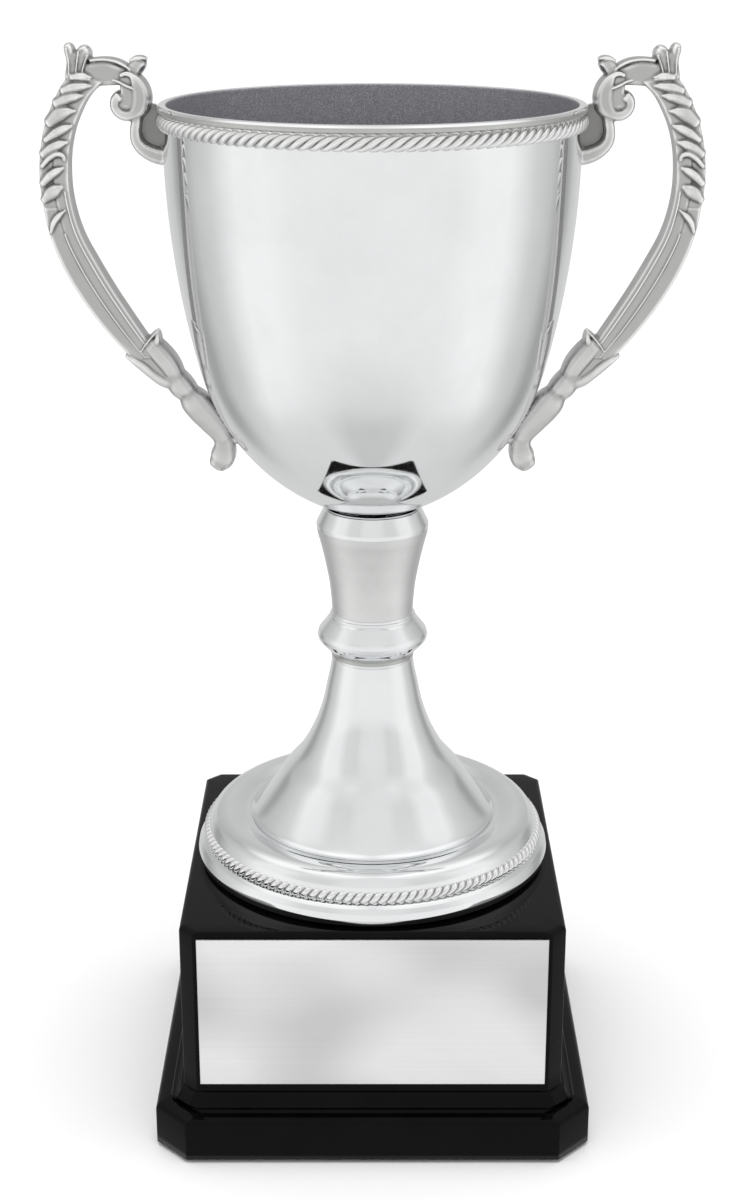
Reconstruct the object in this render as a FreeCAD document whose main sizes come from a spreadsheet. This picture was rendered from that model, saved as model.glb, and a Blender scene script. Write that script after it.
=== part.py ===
import FreeCAD, Part
import math
import os
import Sketcher

# Two-handled presentation cup on a square weighted plinth.
# Millimetres. +Z is up, z = 0 is the underside of the felt, -Y is the front with the plate,
# and the two handles lie along X.

doc = FreeCAD.newDocument("cup_trophy")

# ---------------------------------------------------------------- driving dimensions
sheet = doc.addObject("Spreadsheet::Sheet", "dims")
drivingDimensions = {
    "feltThick": 1.0,
    "slabWidth": 108.0,
    "slabChamfer": 8.0,
    "slabTop": 11.4,
    "mouldTop": 16.0,
    "blockWidth": 94.0,
    "blockChamfer": 3.5,
    "blockTop": 60.0,
    "plinthWall": 3.0,
    "plateWidth": 85.0,
    "plateTall": 40.0,
    "plateThick": 0.8,
    "padThick": 0.4,
    "plateMid": 38.7,
    "footRadius": 45.4,
    "footRopeRadius": 42.2,
    "footRopeHalf": 1.6,
    "dishInner": 31.5,
    "dishTop": 71.8,
    "sheetWall": 1.2,
    "trumpetTop": 114.0,
    "trumpetTopRadius": 10.5,
    "knopRadius": 13.7,
    "knopTop": 126.2,
    "neckLowRadius": 10.1,
    "neckHighRadius": 13.9,
    "neckTop": 153.2,
    "collarRadius": 11.9,
    "bowlFloor": 153.8,
    "bowlFloorRadius": 11.6,
    "bowlLowBend": 51.0,
    "bowlTurn": 188.3,
    "bowlTurnRadius": 41.9,
    "bowlSideBend": 212.0,
    "ropeLow": 245.1,
    "ropeHigh": 248.8,
    "ropeRadius": 50.2,
    "bandSeatRadius": 49.3,
    "lipHigh": 250.8,
    "lipRadius": 50.1,
    "mouthRadius": 47.8,
    "rodRadius": 3.0,
    "boreRadius": 3.2,
    "armThick": 7.0,
    "calyxThick": 10.0,
    "screwRadius": 1.5,
    "screwHigh": 239.5,
    "screwTilt": 25.0,
    "bossInset": 6.8,
}
for row, (alias, number) in enumerate(drivingDimensions.items(), start=1):
    sheet.set(f"A{row}", alias)
    sheet.set(f"B{row}", str(number))
    sheet.setAlias(f"B{row}", alias)
doc.recompute()


class Size:
    """A length together with the spreadsheet formula it is bound to."""

    def __init__(self, value, text):
        self.value = value
        self.text = text

    def __add__(self, other):
        return combine(self, other, "+", lambda a, b: a + b)

    def __sub__(self, other):
        return combine(self, other, "-", lambda a, b: a - b)

    def __mul__(self, other):
        return combine(self, other, "*", lambda a, b: a * b)

    def __truediv__(self, other):
        return combine(self, other, "/", lambda a, b: a / b)


def asSize(number):
    return number if isinstance(number, Size) else Size(number, repr(round(float(number), 4)))


def combine(left, right, sign, work):
    right = asSize(right)
    return Size(work(left.value, right.value), f"({left.text} {sign} {right.text})")


def cell(alias):
    return Size(float(sheet.get(alias)), f"dims.{alias}")


# ---------------------------------------------------------------- shared sketch and body helpers
def originPlane(body, role):
    for feature in body.Origin.OriginFeatures:
        if feature.Role == role:
            return feature
    raise ValueError(f"no origin plane {role}")


def newBody(name):
    body = doc.addObject("PartDesign::Body", name)
    body.Label = name
    return body


def newSketch(body, name, role="XZ_Plane"):
    sketch = body.newObject("Sketcher::SketchObject", name)
    sketch.AttachmentSupport = [(originPlane(body, role), "")]
    sketch.MapMode = "FlatFace"
    return sketch


def bindVertex(sketch, geometry, vertex, place):
    """Dimension one vertex from the sketch origin, each way, with its spreadsheet formula."""
    for kind, axis, size in (("DistanceX", -2, place[0]), ("DistanceY", -1, place[1])):
        size = asSize(size)
        if abs(size.value) < 1e-9:
            sketch.addConstraint(Sketcher.Constraint("PointOnObject", geometry, vertex, axis))
            continue
        index = sketch.addConstraint(Sketcher.Constraint(kind, geometry, vertex, size.value))
        sketch.setExpression(f"Constraints[{index}]", size.text)


def arcBetween(start, end, radius, leftward):
    """Circle arc from start to end; leftward puts its centre on the left of the way travelled."""
    a = FreeCAD.Vector(start[0], start[1], 0)
    b = FreeCAD.Vector(end[0], end[1], 0)
    chord = b - a
    rise = math.sqrt(max(radius ** 2 - (chord.Length / 2) ** 2, 0))
    normal = FreeCAD.Vector(-chord.y, chord.x, 0).normalize()
    centre = (a + b) * 0.5 + normal * (rise if leftward else -rise)
    circle = Part.Circle(centre, FreeCAD.Vector(0, 0, 1), radius)
    first, last = (a, b) if leftward else (b, a)
    low = math.atan2(first.y - centre.y, first.x - centre.x)
    high = math.atan2(last.y - centre.y, last.x - centre.x)
    return Part.ArcOfCircle(circle, low, high if high > low else high + 2 * math.pi)


def drawProfile(sketch, corners):
    """Closed profile. Each corner is (x, y) for a straight run to it, or (x, y, bend) for an
    arc of that radius to it, a negative bend curving the other way."""
    numbers = [tuple(asSize(part).value for part in corner[:2]) for corner in corners]
    ends = []
    for i, corner in enumerate(corners):
        start = numbers[i - 1]
        if len(corner) == 2:
            line = Part.LineSegment(FreeCAD.Vector(*start, 0), FreeCAD.Vector(*numbers[i], 0))
            ends.append((sketch.addGeometry(line, False), 1, 2))
            continue
        bend = asSize(corner[2])
        leftward = bend.value > 0
        arc = sketch.addGeometry(arcBetween(start, numbers[i], abs(bend.value), leftward), False)
        ends.append((arc, 1, 2) if leftward else (arc, 2, 1))
    for i, (geometry, first, last) in enumerate(ends):
        nextGeometry, nextFirst, nextLast = ends[(i + 1) % len(ends)]
        sketch.addConstraint(Sketcher.Constraint("Coincident", geometry, last, nextGeometry, nextFirst))
        bindVertex(sketch, geometry, last, corners[i])
        if len(corners[i]) == 3:
            bend = asSize(corners[i][2])
            bend = bend if bend.value > 0 else bend * -1
            index = sketch.addConstraint(Sketcher.Constraint("Radius", geometry, bend.value))
            sketch.setExpression(f"Constraints[{index}]", bend.text)


def turned(name, corners):
    """A piece turned about Z from its half section in the XZ plane."""
    body = newBody(name)
    sketch = newSketch(body, name + "_section")
    drawProfile(sketch, corners)
    turn = body.newObject("PartDesign::Revolution", name + "_turning")
    turn.Profile = sketch
    turn.ReferenceAxis = (sketch, ["V_Axis"])
    turn.Angle = 360
    return body


def chamferedSquare(width, chamfer):
    """Corners of a square outline with its corners cut at 45 degrees, anticlockwise."""
    half = width * 0.5
    inner = half - chamfer
    near = half * -1
    low = inner * -1
    return [
        (half, low), (half, inner), (inner, half), (low, half),
        (near, inner), (near, low), (low, near), (inner, near),
    ]


def padded(body, name, corners, bottom, height, role="XY_Plane"):
    """Pad a closed outline upward from the given height in its body."""
    sketch = newSketch(body, name + "_outline", role)
    drawProfile(sketch, corners)
    sketch.setExpression("AttachmentOffset.Base.z", bottom.text)
    pad = body.newObject("PartDesign::Pad", name + "_pad")
    pad.Profile = sketch
    pad.Length = height.value
    pad.setExpression("Length", height.text)
    return pad


def pocketed(body, name, corners, top, depth, role="XY_Plane"):
    """Cut a closed outline downward from the given height in its body."""
    sketch = newSketch(body, name + "_outline", role)
    drawProfile(sketch, corners)
    sketch.setExpression("AttachmentOffset.Base.z", top.text)
    pocket = body.newObject("PartDesign::Pocket", name + "_pocket")
    pocket.Profile = sketch
    pocket.Length = depth.value
    pocket.setExpression("Length", depth.text)
    return pocket


def roundCut(body, name, places, radius, top, depth):
    """Round holes of one radius, cut downward from the given height."""
    sketch = newSketch(body, name + "_outline", "XY_Plane")
    drawCircles(sketch, places, radius)
    sketch.setExpression("AttachmentOffset.Base.z", top.text)
    pocket = body.newObject("PartDesign::Pocket", name + "_pocket")
    pocket.Profile = sketch
    pocket.Length = depth


def drawCircles(sketch, places, radius):
    for place in places:
        middle = FreeCAD.Vector(asSize(place[0]).value, asSize(place[1]).value, 0)
        circle = Part.Circle(middle, FreeCAD.Vector(0, 0, 1), radius.value)
        geometry = sketch.addGeometry(circle, False)
        bindVertex(sketch, geometry, 3, place)
        index = sketch.addConstraint(Sketcher.Constraint("Radius", geometry, radius.value))
        sketch.setExpression(f"Constraints[{index}]", radius.text)


def fourCorners(reach):
    near = reach * -1
    return [(reach, reach), (near, reach), (near, near), (reach, near)]


def cylinder(name, radius, height, placement):
    """Plain cylinder along its own Z, sized from the spreadsheet."""
    rod = doc.addObject("Part::Cylinder", name)
    radius = asSize(radius)
    height = asSize(height)
    rod.Radius = radius.value
    rod.Height = height.value
    rod.setExpression("Radius", radius.text)
    rod.setExpression("Height", height.text)
    rod.Placement = placement
    return rod


def hexPrism(name, acrossFlats, height, placement):
    prism = doc.addObject("Part::Prism", name)
    prism.Polygon = 6
    prism.Circumradius = acrossFlats / math.sqrt(3)
    prism.Height = height
    prism.Placement = placement
    return prism


def joined(kind, name, base, tools):
    """Part boolean of the given kind: a Cut of tools from base, or a MultiFuse of them all."""
    if kind == "Part::Cut":
        result = doc.addObject(kind, name)
        result.Base = base
        result.Tool = tools[0] if len(tools) == 1 else grouped(name + "_tools", tools)
    else:
        result = doc.addObject(kind, name)
        result.Shapes = [base] + tools
    result.Label = name
    return result


def grouped(name, members):
    """Separate solids kept together under one name."""
    group = doc.addObject("Part::Compound", name)
    group.Links = members
    group.Label = name
    return group


def upAt(x, y, z):
    return FreeCAD.Placement(FreeCAD.Vector(x, y, z), FreeCAD.Rotation())


def drop(z):
    return upAt(0, 0, z)


bore = cell("boreRadius")
wall = cell("sheetWall")
blockTop = cell("blockTop")


# ---------------------------------------------------------------- plinth
def makeFelt():
    body = newBody("base_felt")
    edgeInset = 3.0
    outline = chamferedSquare(cell("slabWidth") - edgeInset, cell("slabChamfer"))
    padded(body, "felt", outline, Size(0, "0"), cell("feltThick"))
    return body


boardThick = 3.0
boardInset = 10.0
boardScrewRadius = 1.3
bossReach = cell("blockWidth") * 0.5 - cell("bossInset")


def makeBaseBoard(screws):
    """Board that closes the plinth from below, countersunk for its four screws."""
    body = newBody("board_blank")
    outline = chamferedSquare(cell("slabWidth") - boardInset, cell("slabChamfer") - 1)
    padded(body, "board", outline, cell("feltThick"), asSize(boardThick))
    return joined("Part::Cut", "base_board", body, screws)


def makePlinth():
    """Hollow moulding: wide slab, concave moulding and upright block, open underneath."""
    body = newBody("plinth_shell")
    felt = cell("feltThick")
    slabTop = cell("slabTop")
    padded(body, "slab", chamferedSquare(cell("slabWidth"), cell("slabChamfer")), felt, slabTop - felt)
    ledge = cell("slabWidth") - 8
    padded(body, "ledge", chamferedSquare(ledge, cell("slabChamfer") - 1.5), slabTop, asSize(1.2))
    cove = cell("blockWidth") + 2.4
    padded(body, "cove", chamferedSquare(cove, cell("blockChamfer") + 1), slabTop, cell("mouldTop") - slabTop)
    block = chamferedSquare(cell("blockWidth"), cell("blockChamfer"))
    padded(body, "block", block, slabTop, blockTop - slabTop)
    hollow = chamferedSquare(cell("blockWidth") - cell("plinthWall") * 2, cell("blockChamfer"))
    pocketed(body, "hollow", hollow, blockTop - 4, blockTop)
    rabbet = chamferedSquare(cell("slabWidth") - boardInset, cell("slabChamfer") - 1)
    pocketed(body, "rabbet", rabbet, felt + boardThick, asSize(boardThick + 1))
    bosses = newSketch(body, "bosses_outline", "XY_Plane")
    drawCircles(bosses, fourCorners(bossReach), asSize(4.5))
    bosses.setExpression("AttachmentOffset.Base.z", (felt + boardThick).text)
    pad = body.newObject("PartDesign::Pad", "bosses_pad")
    pad.Profile = bosses
    pad.Length = (blockTop - 3 - felt - boardThick).value
    pad.setExpression("Length", (blockTop - 3 - felt - boardThick).text)
    roundCut(body, "screw_pilots", fourCorners(bossReach), asSize(boardScrewRadius), felt + 9, 8)
    roundCut(body, "rod_hole", [(0, 0)], bore, blockTop + 1, 8)
    return body


def makeBallast():
    """Cast weight on the base board, with a well in its middle for the rod's nut."""
    body = newBody("ballast_weight")
    bottom = cell("feltThick") + boardThick
    outline = chamferedSquare(cell("blockWidth") - 12, asSize(12))
    padded(body, "ballast", outline, bottom, asSize(24))
    well = chamferedSquare(asSize(26), asSize(6))
    pocketed(body, "well", well, bottom + 24, asSize(24))
    return body


def makeBoardScrews():
    """Countersunk screws that hold the board to the plinth's four corner bosses."""
    reach = bossReach.value
    screws = []
    for i, (sx, sy) in enumerate(((1, 1), (-1, 1), (-1, -1), (1, -1))):
        place = upAt(sx * reach, sy * reach, drivingDimensions["feltThick"])
        head = doc.addObject("Part::Cone", f"board_screw_head_{i}")
        head.Radius1 = 2.6
        head.Radius2 = boardScrewRadius
        head.Height = 1.6
        head.Placement = place
        shank = cylinder(f"board_screw_shank_{i}", boardScrewRadius, 8.0, place)
        screws.append(joined("Part::MultiFuse", f"board_screw_{i}", head, [shank]))
    return screws


def makePlate():
    """Engraving plate and its adhesive pad on the block's front face."""
    face = cell("blockWidth") * 0.5
    pieces = []
    for name, thick, offset, trim in (
        ("plate_adhesive", cell("padThick"), face, 1.0),
        ("engraving_plate", cell("plateThick"), face + cell("padThick"), 0.0),
    ):
        body = newBody(name)
        halfWide = (cell("plateWidth") - trim) * 0.5
        high = cell("plateMid") + (cell("plateTall") - trim) * 0.5
        low = cell("plateMid") - (cell("plateTall") - trim) * 0.5
        corners = [(halfWide, low), (halfWide, high), (halfWide * -1, high), (halfWide * -1, low)]
        padded(body, name, corners, offset, thick, role="XZ_Plane")
        pieces.append(body)
    return pieces


# ---------------------------------------------------------------- foot and stem
ropeLow = blockTop + 5.6


def makeDish():
    """Spun foot: rounded rim, ledge for the rope, dome and shallow trough."""
    foot = cell("footRadius")
    inner = cell("dishInner")
    top = cell("dishTop")
    return turned("foot_dish", [
        (foot - 1.4, blockTop),
        (foot - 1.6, ropeLow, 3.4),
        (foot - 4.9, ropeLow),
        (foot - 5.2, ropeLow + 2.0),
        (inner + 4.6, top - 0.6, 4.8),
        (inner, top - 0.2, -12.0),
        (inner - 2.0, top - 0.2),
        (inner - 2.0, top - 0.2 - wall),
        (inner, top - 0.2 - wall),
        (inner + 4.6, top - 0.6 - wall, 13.2),
        (foot - 6.4, ropeLow + 2.0, -3.6),
        (foot - 6.1, ropeLow - wall),
        (foot - 3.6, blockTop),
    ])


def makeFootRope():
    """Rope ring resting on the dish's ledge."""
    ring = doc.addObject("Part::Torus", "foot_rope_band")
    ring.Label = "foot_rope_band"
    ring.setExpression("Radius1", "dims.footRopeRadius")
    ring.setExpression("Radius2", "dims.footRopeHalf")
    ring.setExpression("Placement.Base.z", (ropeLow + cell("footRopeHalf")).text)
    return ring


def makeRimRope():
    """Rope band bulging from its flat seat just under the lip."""
    seat = cell("bandSeatRadius")
    low = cell("ropeLow")
    high = cell("ropeHigh")
    bulge = cell("ropeRadius") - seat
    half = (high - low) * 0.5
    bend = (half * half + bulge * bulge) / (bulge * 2)
    return turned("rim_rope_band", [(seat, low), (seat, high, bend)])


def makeTrumpet():
    inner = cell("dishInner")
    low = cell("dishTop") - 0.2
    topRadius = cell("trumpetTopRadius")
    top = cell("trumpetTop")
    return turned("foot_trumpet", [
        (inner, low),
        (inner - 0.4, low + 1.0, 1.0),
        (asSize(18.7), asSize(88.2), -40.0),
        (topRadius, top - 4.0, -62.0),
        (topRadius, top),
        (bore, top),
        (bore, top - 2.0),
        (topRadius - wall, top - 3.0),
        (topRadius - wall, top - 5.0),
        (asSize(17.5), asSize(87.8), 63.0),
        (inner - 2.0, low, 41.0),
    ])


def makeKnop():
    low = cell("trumpetTop")
    top = cell("knopTop")
    girth = cell("knopRadius")
    return turned("stem_knop", [
        (bore, low),
        (girth - 3.2, low),
        (girth - 3.1, low + 1.2),
        (girth - 0.5, low + 4.8),
        (girth - 0.3, low + 7.2, 1.6),
        (girth - 3.1, low + 10.4),
        (girth - 3.3, top),
        (bore, top),
    ])


def makeNeck():
    low = cell("knopTop")
    top = cell("neckTop")
    slim = cell("neckLowRadius")
    wide = cell("neckHighRadius")
    return turned("stem_neck", [
        (bore, low),
        (slim, low),
        (slim + 0.95, low + 9.8, -55.0),
        (wide - 0.05, top - 5.2),
        (wide, top - 3.8),
        (wide - 1.9, top),
        (bore, top),
    ])


def makeCollar():
    top = cell("bowlFloor")
    return turned("bowl_collar", [
        (bore, cell("neckTop")),
        (cell("collarRadius"), cell("neckTop")),
        (cell("collarRadius"), top),
        (bore, top),
    ])


def makeRod():
    """Threaded tie rod from under the plinth's top panel up into the bowl."""
    low = drivingDimensions["blockTop"] - 13.0
    high = drivingDimensions["bowlFloor"] + 8.0
    rod = cylinder("tie_rod", cell("rodRadius"), high - low, drop(low))
    rod.Label = "tie_rod"
    return rod


def makeWasher(name, low, outer, thick):
    return turned(name, [(bore, low), (outer, low), (outer, low + thick), (bore, low + thick)])


def makePlinthNut():
    low = drivingDimensions["blockTop"] - 4.0 - 1.2 - 5.0
    hexagon = hexPrism("plinth_nut_hexagon", 10.0, 5.0, drop(low))
    thread = cylinder("plinth_nut_thread", cell("rodRadius"), 9.0, drop(low - 2))
    return joined("Part::Cut", "plinth_nut", hexagon, [thread])


def makeCapNut():
    """Domed nut on the rod's top end, inside the bowl."""
    low = drivingDimensions["bowlFloor"] + drivingDimensions["sheetWall"] + 1.2
    hexagon = hexPrism("cap_nut_hexagon", 10.0, 5.0, drop(low))
    dome = doc.addObject("Part::Sphere", "cap_nut_dome")
    dome.Radius = 4.7
    dome.Angle1 = 0
    dome.Placement = drop(low + 5.0)
    blank = joined("Part::MultiFuse", "cap_nut_blank", hexagon, [dome])
    rodEnd = drivingDimensions["bowlFloor"] + 8.0
    thread = cylinder("cap_nut_thread", cell("rodRadius"), rodEnd - low + 2.0, drop(low - 2.0))
    return joined("Part::Cut", "bowl_cap_nut", blank, [thread])


# ---------------------------------------------------------------- bowl
def makeBowl():
    floor = cell("bowlFloor")
    floorRadius = cell("bowlFloorRadius")
    turn = cell("bowlTurn")
    turnRadius = cell("bowlTurnRadius")
    seat = cell("bandSeatRadius")
    high = cell("lipHigh")
    lip = cell("lipRadius")
    mouth = cell("mouthRadius")
    return turned("bowl_turned", [
        (bore, floor),
        (floorRadius, floor),
        (turnRadius, turn, cell("bowlLowBend")),
        (seat, cell("ropeLow"), cell("bowlSideBend")),
        (seat, cell("ropeHigh")),
        (lip - 1.3, high, 1.6),
        (mouth, high - 1.2, 1.4),
        (mouth, cell("ropeLow")),
        (turnRadius - wall * 0.965, turn + wall * 0.262, (cell("bowlSideBend") - wall) * -1),
        (floorRadius - wall * 0.35, floor + wall, (cell("bowlLowBend") - wall) * -1),
        (bore, floor + wall),
    ])


def bowlEnvelope():
    """Solid of the bowl's outside with its rope band, which the handles are fitted to."""
    floor = cell("bowlFloor")
    axis = asSize(0.0)
    ropeLowZ = cell("ropeLow")
    ropeHighZ = cell("ropeHigh")
    return turned("bowl_envelope", [
        (axis, floor),
        (cell("bowlFloorRadius"), floor),
        (cell("bowlTurnRadius"), cell("bowlTurn"), cell("bowlLowBend")),
        (cell("bandSeatRadius"), ropeLowZ, cell("bowlSideBend")),
        (cell("ropeRadius"), ropeLowZ),
        (cell("ropeRadius"), ropeHighZ + 4),
        (axis, ropeHighZ + 4),
    ])


# ---------------------------------------------------------------- handles
# Outlines of the right handle's casting in the XZ plane. A run is "line" or "spline".
armOutline = [
    ("spline", [(57.7, 191.0), (65.7, 200.5), (72.4, 211.4), (76.3, 222.5), (77.6, 235.0),
                (76.6, 243.0), (74.1, 250.1), (69.4, 257.5)]),
    ("line", [(70.0, 264.4), (66.9, 263.8), (64.9, 261.0)]),
    ("spline", [(64.9, 261.0), (60.3, 260.5), (56.9, 259.0)]),
    ("line", [(52.9, 260.2), (54.2, 256.0), (57.0, 253.5), (60.2, 254.7)]),
    ("spline", [(60.2, 254.7), (63.5, 254.0), (66.8, 249.8), (70.1, 240.0), (70.5, 230.0),
                (67.8, 219.0), (60.5, 206.0), (52.0, 193.0)]),
    ("line", [(57.7, 191.0)]),
]
bracketOutline = [
    ("spline", [(56.6, 247.5), (56.2, 242.5), (53.6, 237.7), (49.6, 235.6)]),
    ("line", [(46.0, 235.6), (46.0, 248.0), (52.0, 248.5), (56.6, 247.5)]),
]
calyxOutline = [
    ("line", [(51.0, 197.5)]),
    ("spline", [(51.0, 197.5), (49.8, 193.5), (47.6, 191.6), (45.2, 186.8)]),
    ("spline", [(45.2, 186.8), (43.2, 185.7), (41.3, 182.6), (38.5, 182.4)]),
    ("line", [(30.0, 172.0), (29.8, 167.8), (33.3, 164.5)]),
    ("spline", [(33.3, 164.5), (35.6, 162.8), (37.8, 163.9), (37.5, 168.1), (40.6, 173.1),
                (44.8, 177.7), (49.0, 183.1), (54.2, 187.4), (57.8, 189.6)]),
    ("line", [(57.2, 191.8), (54.5, 194.0)]),
]
scrollCentre = (56.8, 251.2)
scrollRadius = 4.9


def drawOutline(sketch, runs):
    """Closed outline from runs of straight lines and smooth splines, end to end."""
    place = runs[-1][1][-1]
    for kind, points in runs:
        vectors = [FreeCAD.Vector(x, y, 0) for x, y in points]
        if kind == "spline":
            curve = Part.BSplineCurve()
            curve.interpolate(vectors)
            sketch.addGeometry(curve, False)
        else:
            for corner in vectors:
                start = FreeCAD.Vector(*place, 0)
                if (corner - start).Length > 1e-6:
                    sketch.addGeometry(Part.LineSegment(start, corner), False)
                place = (corner.x, corner.y)
        place = points[-1]


def midPad(body, name, thick, draw):
    """Pad a sketch on the XZ plane equally to both sides of it."""
    sketch = newSketch(body, name + "_outline")
    draw(sketch)
    pad = body.newObject("PartDesign::Pad", name + "_pad")
    pad.Profile = sketch
    pad.SideType = "Symmetric"
    pad.Length = thick.value
    pad.setExpression("Length", thick.text)
    return pad


def drawScroll(sketch):
    centre = FreeCAD.Vector(*scrollCentre, 0)
    sketch.addGeometry(Part.Circle(centre, FreeCAD.Vector(0, 0, 1), scrollRadius), False)


def screwPlacements():
    """Axes of the right handle's screws, each starting on the bowl's inside and pointing out."""
    level = FreeCAD.Rotation(FreeCAD.Vector(0, 1, 0), 90)
    mouth = drivingDimensions["mouthRadius"]
    upper = FreeCAD.Placement(FreeCAD.Vector(mouth, 0, drivingDimensions["screwHigh"]), level)
    bend = drivingDimensions["bowlLowBend"]
    low = (drivingDimensions["bowlFloorRadius"], drivingDimensions["bowlFloor"])
    high = (drivingDimensions["bowlTurnRadius"], drivingDimensions["bowlTurn"])
    centre = arcBetween(low, high, bend, True).Center
    tilt = math.radians(drivingDimensions["screwTilt"])
    reach = bend - drivingDimensions["sheetWall"]
    seat = FreeCAD.Vector(centre.x + reach * math.cos(tilt), 0, centre.y - reach * math.sin(tilt))
    tilted = FreeCAD.Rotation(FreeCAD.Vector(0, 1, 0), 90 + drivingDimensions["screwTilt"])
    return [upper, FreeCAD.Placement(seat, tilted)]


def along(placement, distance):
    """The placement moved along its own Z."""
    return placement.multiply(upAt(0, 0, distance))


def screwSet(side, placements):
    """One handle's screws, washers and the holes they pass through."""
    screws = []
    washers = []
    clearances = []
    threads = []
    for i, place in enumerate(placements):
        tag = f"{side}_{i}"
        head = cylinder(f"screw_head_{tag}", 2.8, 1.9, along(place, -2.8))
        shank = cylinder(f"screw_shank_{tag}", cell("screwRadius"), 5.6, along(place, -0.9))
        screws.append(joined("Part::MultiFuse", f"screw_{tag}", head, [shank]))
        disc = cylinder(f"washer_disc_{tag}", 3.5, 0.7, along(place, -0.9))
        hole = cylinder(f"washer_hole_{tag}", 1.7, 3.0, along(place, -2.0))
        washers.append(joined("Part::Cut", f"washer_{tag}", disc, [hole]))
        clearances.append(cylinder(f"bowl_hole_{tag}", 1.7, 6.0, along(place, -2.5)))
        threads.append(cylinder(f"thread_{tag}", cell("screwRadius"), 6.2, along(place, -1.0)))
    return screws, washers, clearances, threads


def mirroredPlacement(place):
    """The same axis on the other side of the YZ plane."""
    base = FreeCAD.Vector(-place.Base.x, place.Base.y, place.Base.z)
    axis = place.Rotation.multVec(FreeCAD.Vector(0, 0, 1))
    turn = FreeCAD.Rotation(FreeCAD.Vector(0, 0, 1), FreeCAD.Vector(-axis.x, axis.y, axis.z))
    return FreeCAD.Placement(base, turn)


def makeHandles(threads):
    casting = newBody("handle_casting")
    midPad(casting, "arm", cell("armThick"), lambda sketch: drawOutline(sketch, armOutline))
    midPad(casting, "scroll", cell("armThick"), drawScroll)
    midPad(casting, "bracket", cell("armThick"), lambda sketch: drawOutline(sketch, bracketOutline))
    midPad(casting, "calyx", cell("calyxThick"), lambda sketch: drawOutline(sketch, calyxOutline))
    right = joined("Part::Cut", "right_handle", casting, [bowlEnvelope()] + threads)
    left = doc.addObject("Part::Mirroring", "left_handle")
    left.Source = right
    left.Normal = FreeCAD.Vector(1, 0, 0)
    left.Label = "left_handle"
    return [left, right]


# ---------------------------------------------------------------- assembly
rightSet = screwSet("right", screwPlacements())
leftSet = screwSet("left", [mirroredPlacement(place) for place in screwPlacements()])
bowl = joined("Part::Cut", "bowl", makeBowl(), rightSet[2] + leftSet[2])

boardScrews = grouped("base_board_screws", makeBoardScrews())
nodes = [
    makeFelt(),
    makeBaseBoard([boardScrews]),
    makePlinth(),
    makeBallast(),
    boardScrews,
    *makePlate(),
    makeDish(),
    makeFootRope(),
    makeTrumpet(),
    makeKnop(),
    makeNeck(),
    makeCollar(),
    makeRod(),
    makeWasher("plinth_washer", blockTop - 5.2, asSize(9.0), 1.2),
    makePlinthNut(),
    makeWasher("bowl_washer", cell("bowlFloor") + wall, asSize(9.0), 1.2),
    makeCapNut(),
    bowl,
    makeRimRope(),
    *makeHandles(rightSet[3]),
    grouped("handle_screws", rightSet[0] + leftSet[0]),
    grouped("handle_washers", rightSet[1] + leftSet[1]),
]
doc.recompute()

faults = [item.Name for item in doc.Objects if "Invalid" in item.State or "Error" in item.State]
for node in nodes:
    if node.Shape.isNull() or not node.Shape.isValid():
        faults.append(node.Label)
if faults:
    raise RuntimeError("unsound: " + ", ".join(faults))

os.makedirs("parts", exist_ok=True)
for node in nodes:
    node.Shape.exportStep(f"parts/{node.Label}.step")
    box = node.Shape.BoundBox
    print(f"{node.Label:20s} solids {len(node.Shape.Solids)}  volume {node.Shape.Volume:10.1f}"
          f"  x {box.XMin:7.2f} {box.XMax:7.2f}  y {box.YMin:7.2f} {box.YMax:7.2f}"
          f"  z {box.ZMin:7.2f} {box.ZMax:7.2f}")
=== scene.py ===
import math
import bpy
import numpy as np
from mathutils import Matrix, Vector


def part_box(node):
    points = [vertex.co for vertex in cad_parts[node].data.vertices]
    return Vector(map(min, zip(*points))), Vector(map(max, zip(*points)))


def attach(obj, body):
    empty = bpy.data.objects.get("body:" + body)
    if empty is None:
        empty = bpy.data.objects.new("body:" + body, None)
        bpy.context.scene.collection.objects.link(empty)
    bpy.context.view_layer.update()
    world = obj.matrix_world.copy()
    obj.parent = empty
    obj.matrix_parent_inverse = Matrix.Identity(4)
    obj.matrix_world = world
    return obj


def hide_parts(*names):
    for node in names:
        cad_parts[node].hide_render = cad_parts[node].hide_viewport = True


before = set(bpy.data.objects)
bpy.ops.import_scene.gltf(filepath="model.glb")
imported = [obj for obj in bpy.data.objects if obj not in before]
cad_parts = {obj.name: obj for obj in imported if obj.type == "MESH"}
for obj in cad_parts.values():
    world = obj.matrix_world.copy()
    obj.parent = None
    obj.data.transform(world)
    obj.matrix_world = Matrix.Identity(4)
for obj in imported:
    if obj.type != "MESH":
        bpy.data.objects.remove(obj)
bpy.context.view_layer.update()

mm = 0.001
fullTurn = 2 * math.pi
rodBore = 3.2  # radius of the hole for the tie rod through cup, stem and foot, in millimetres


# general mesh tools

def finishMesh(name, verts, faces, material):
    mesh = bpy.data.meshes.new(name)
    mesh.from_pydata([tuple(v) for v in verts], [], faces)
    mesh.validate()
    mesh.update()
    piece = bpy.data.objects.new(name, mesh)
    bpy.context.scene.collection.objects.link(piece)
    mesh.materials.append(material)
    mesh.shade_smooth()
    return piece


# rides on the one body, and stands for the named nodes of the frame
def place(piece, slotName, *nodes):
    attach(piece, "root")
    if nodes:
        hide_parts(*nodes)


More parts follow.
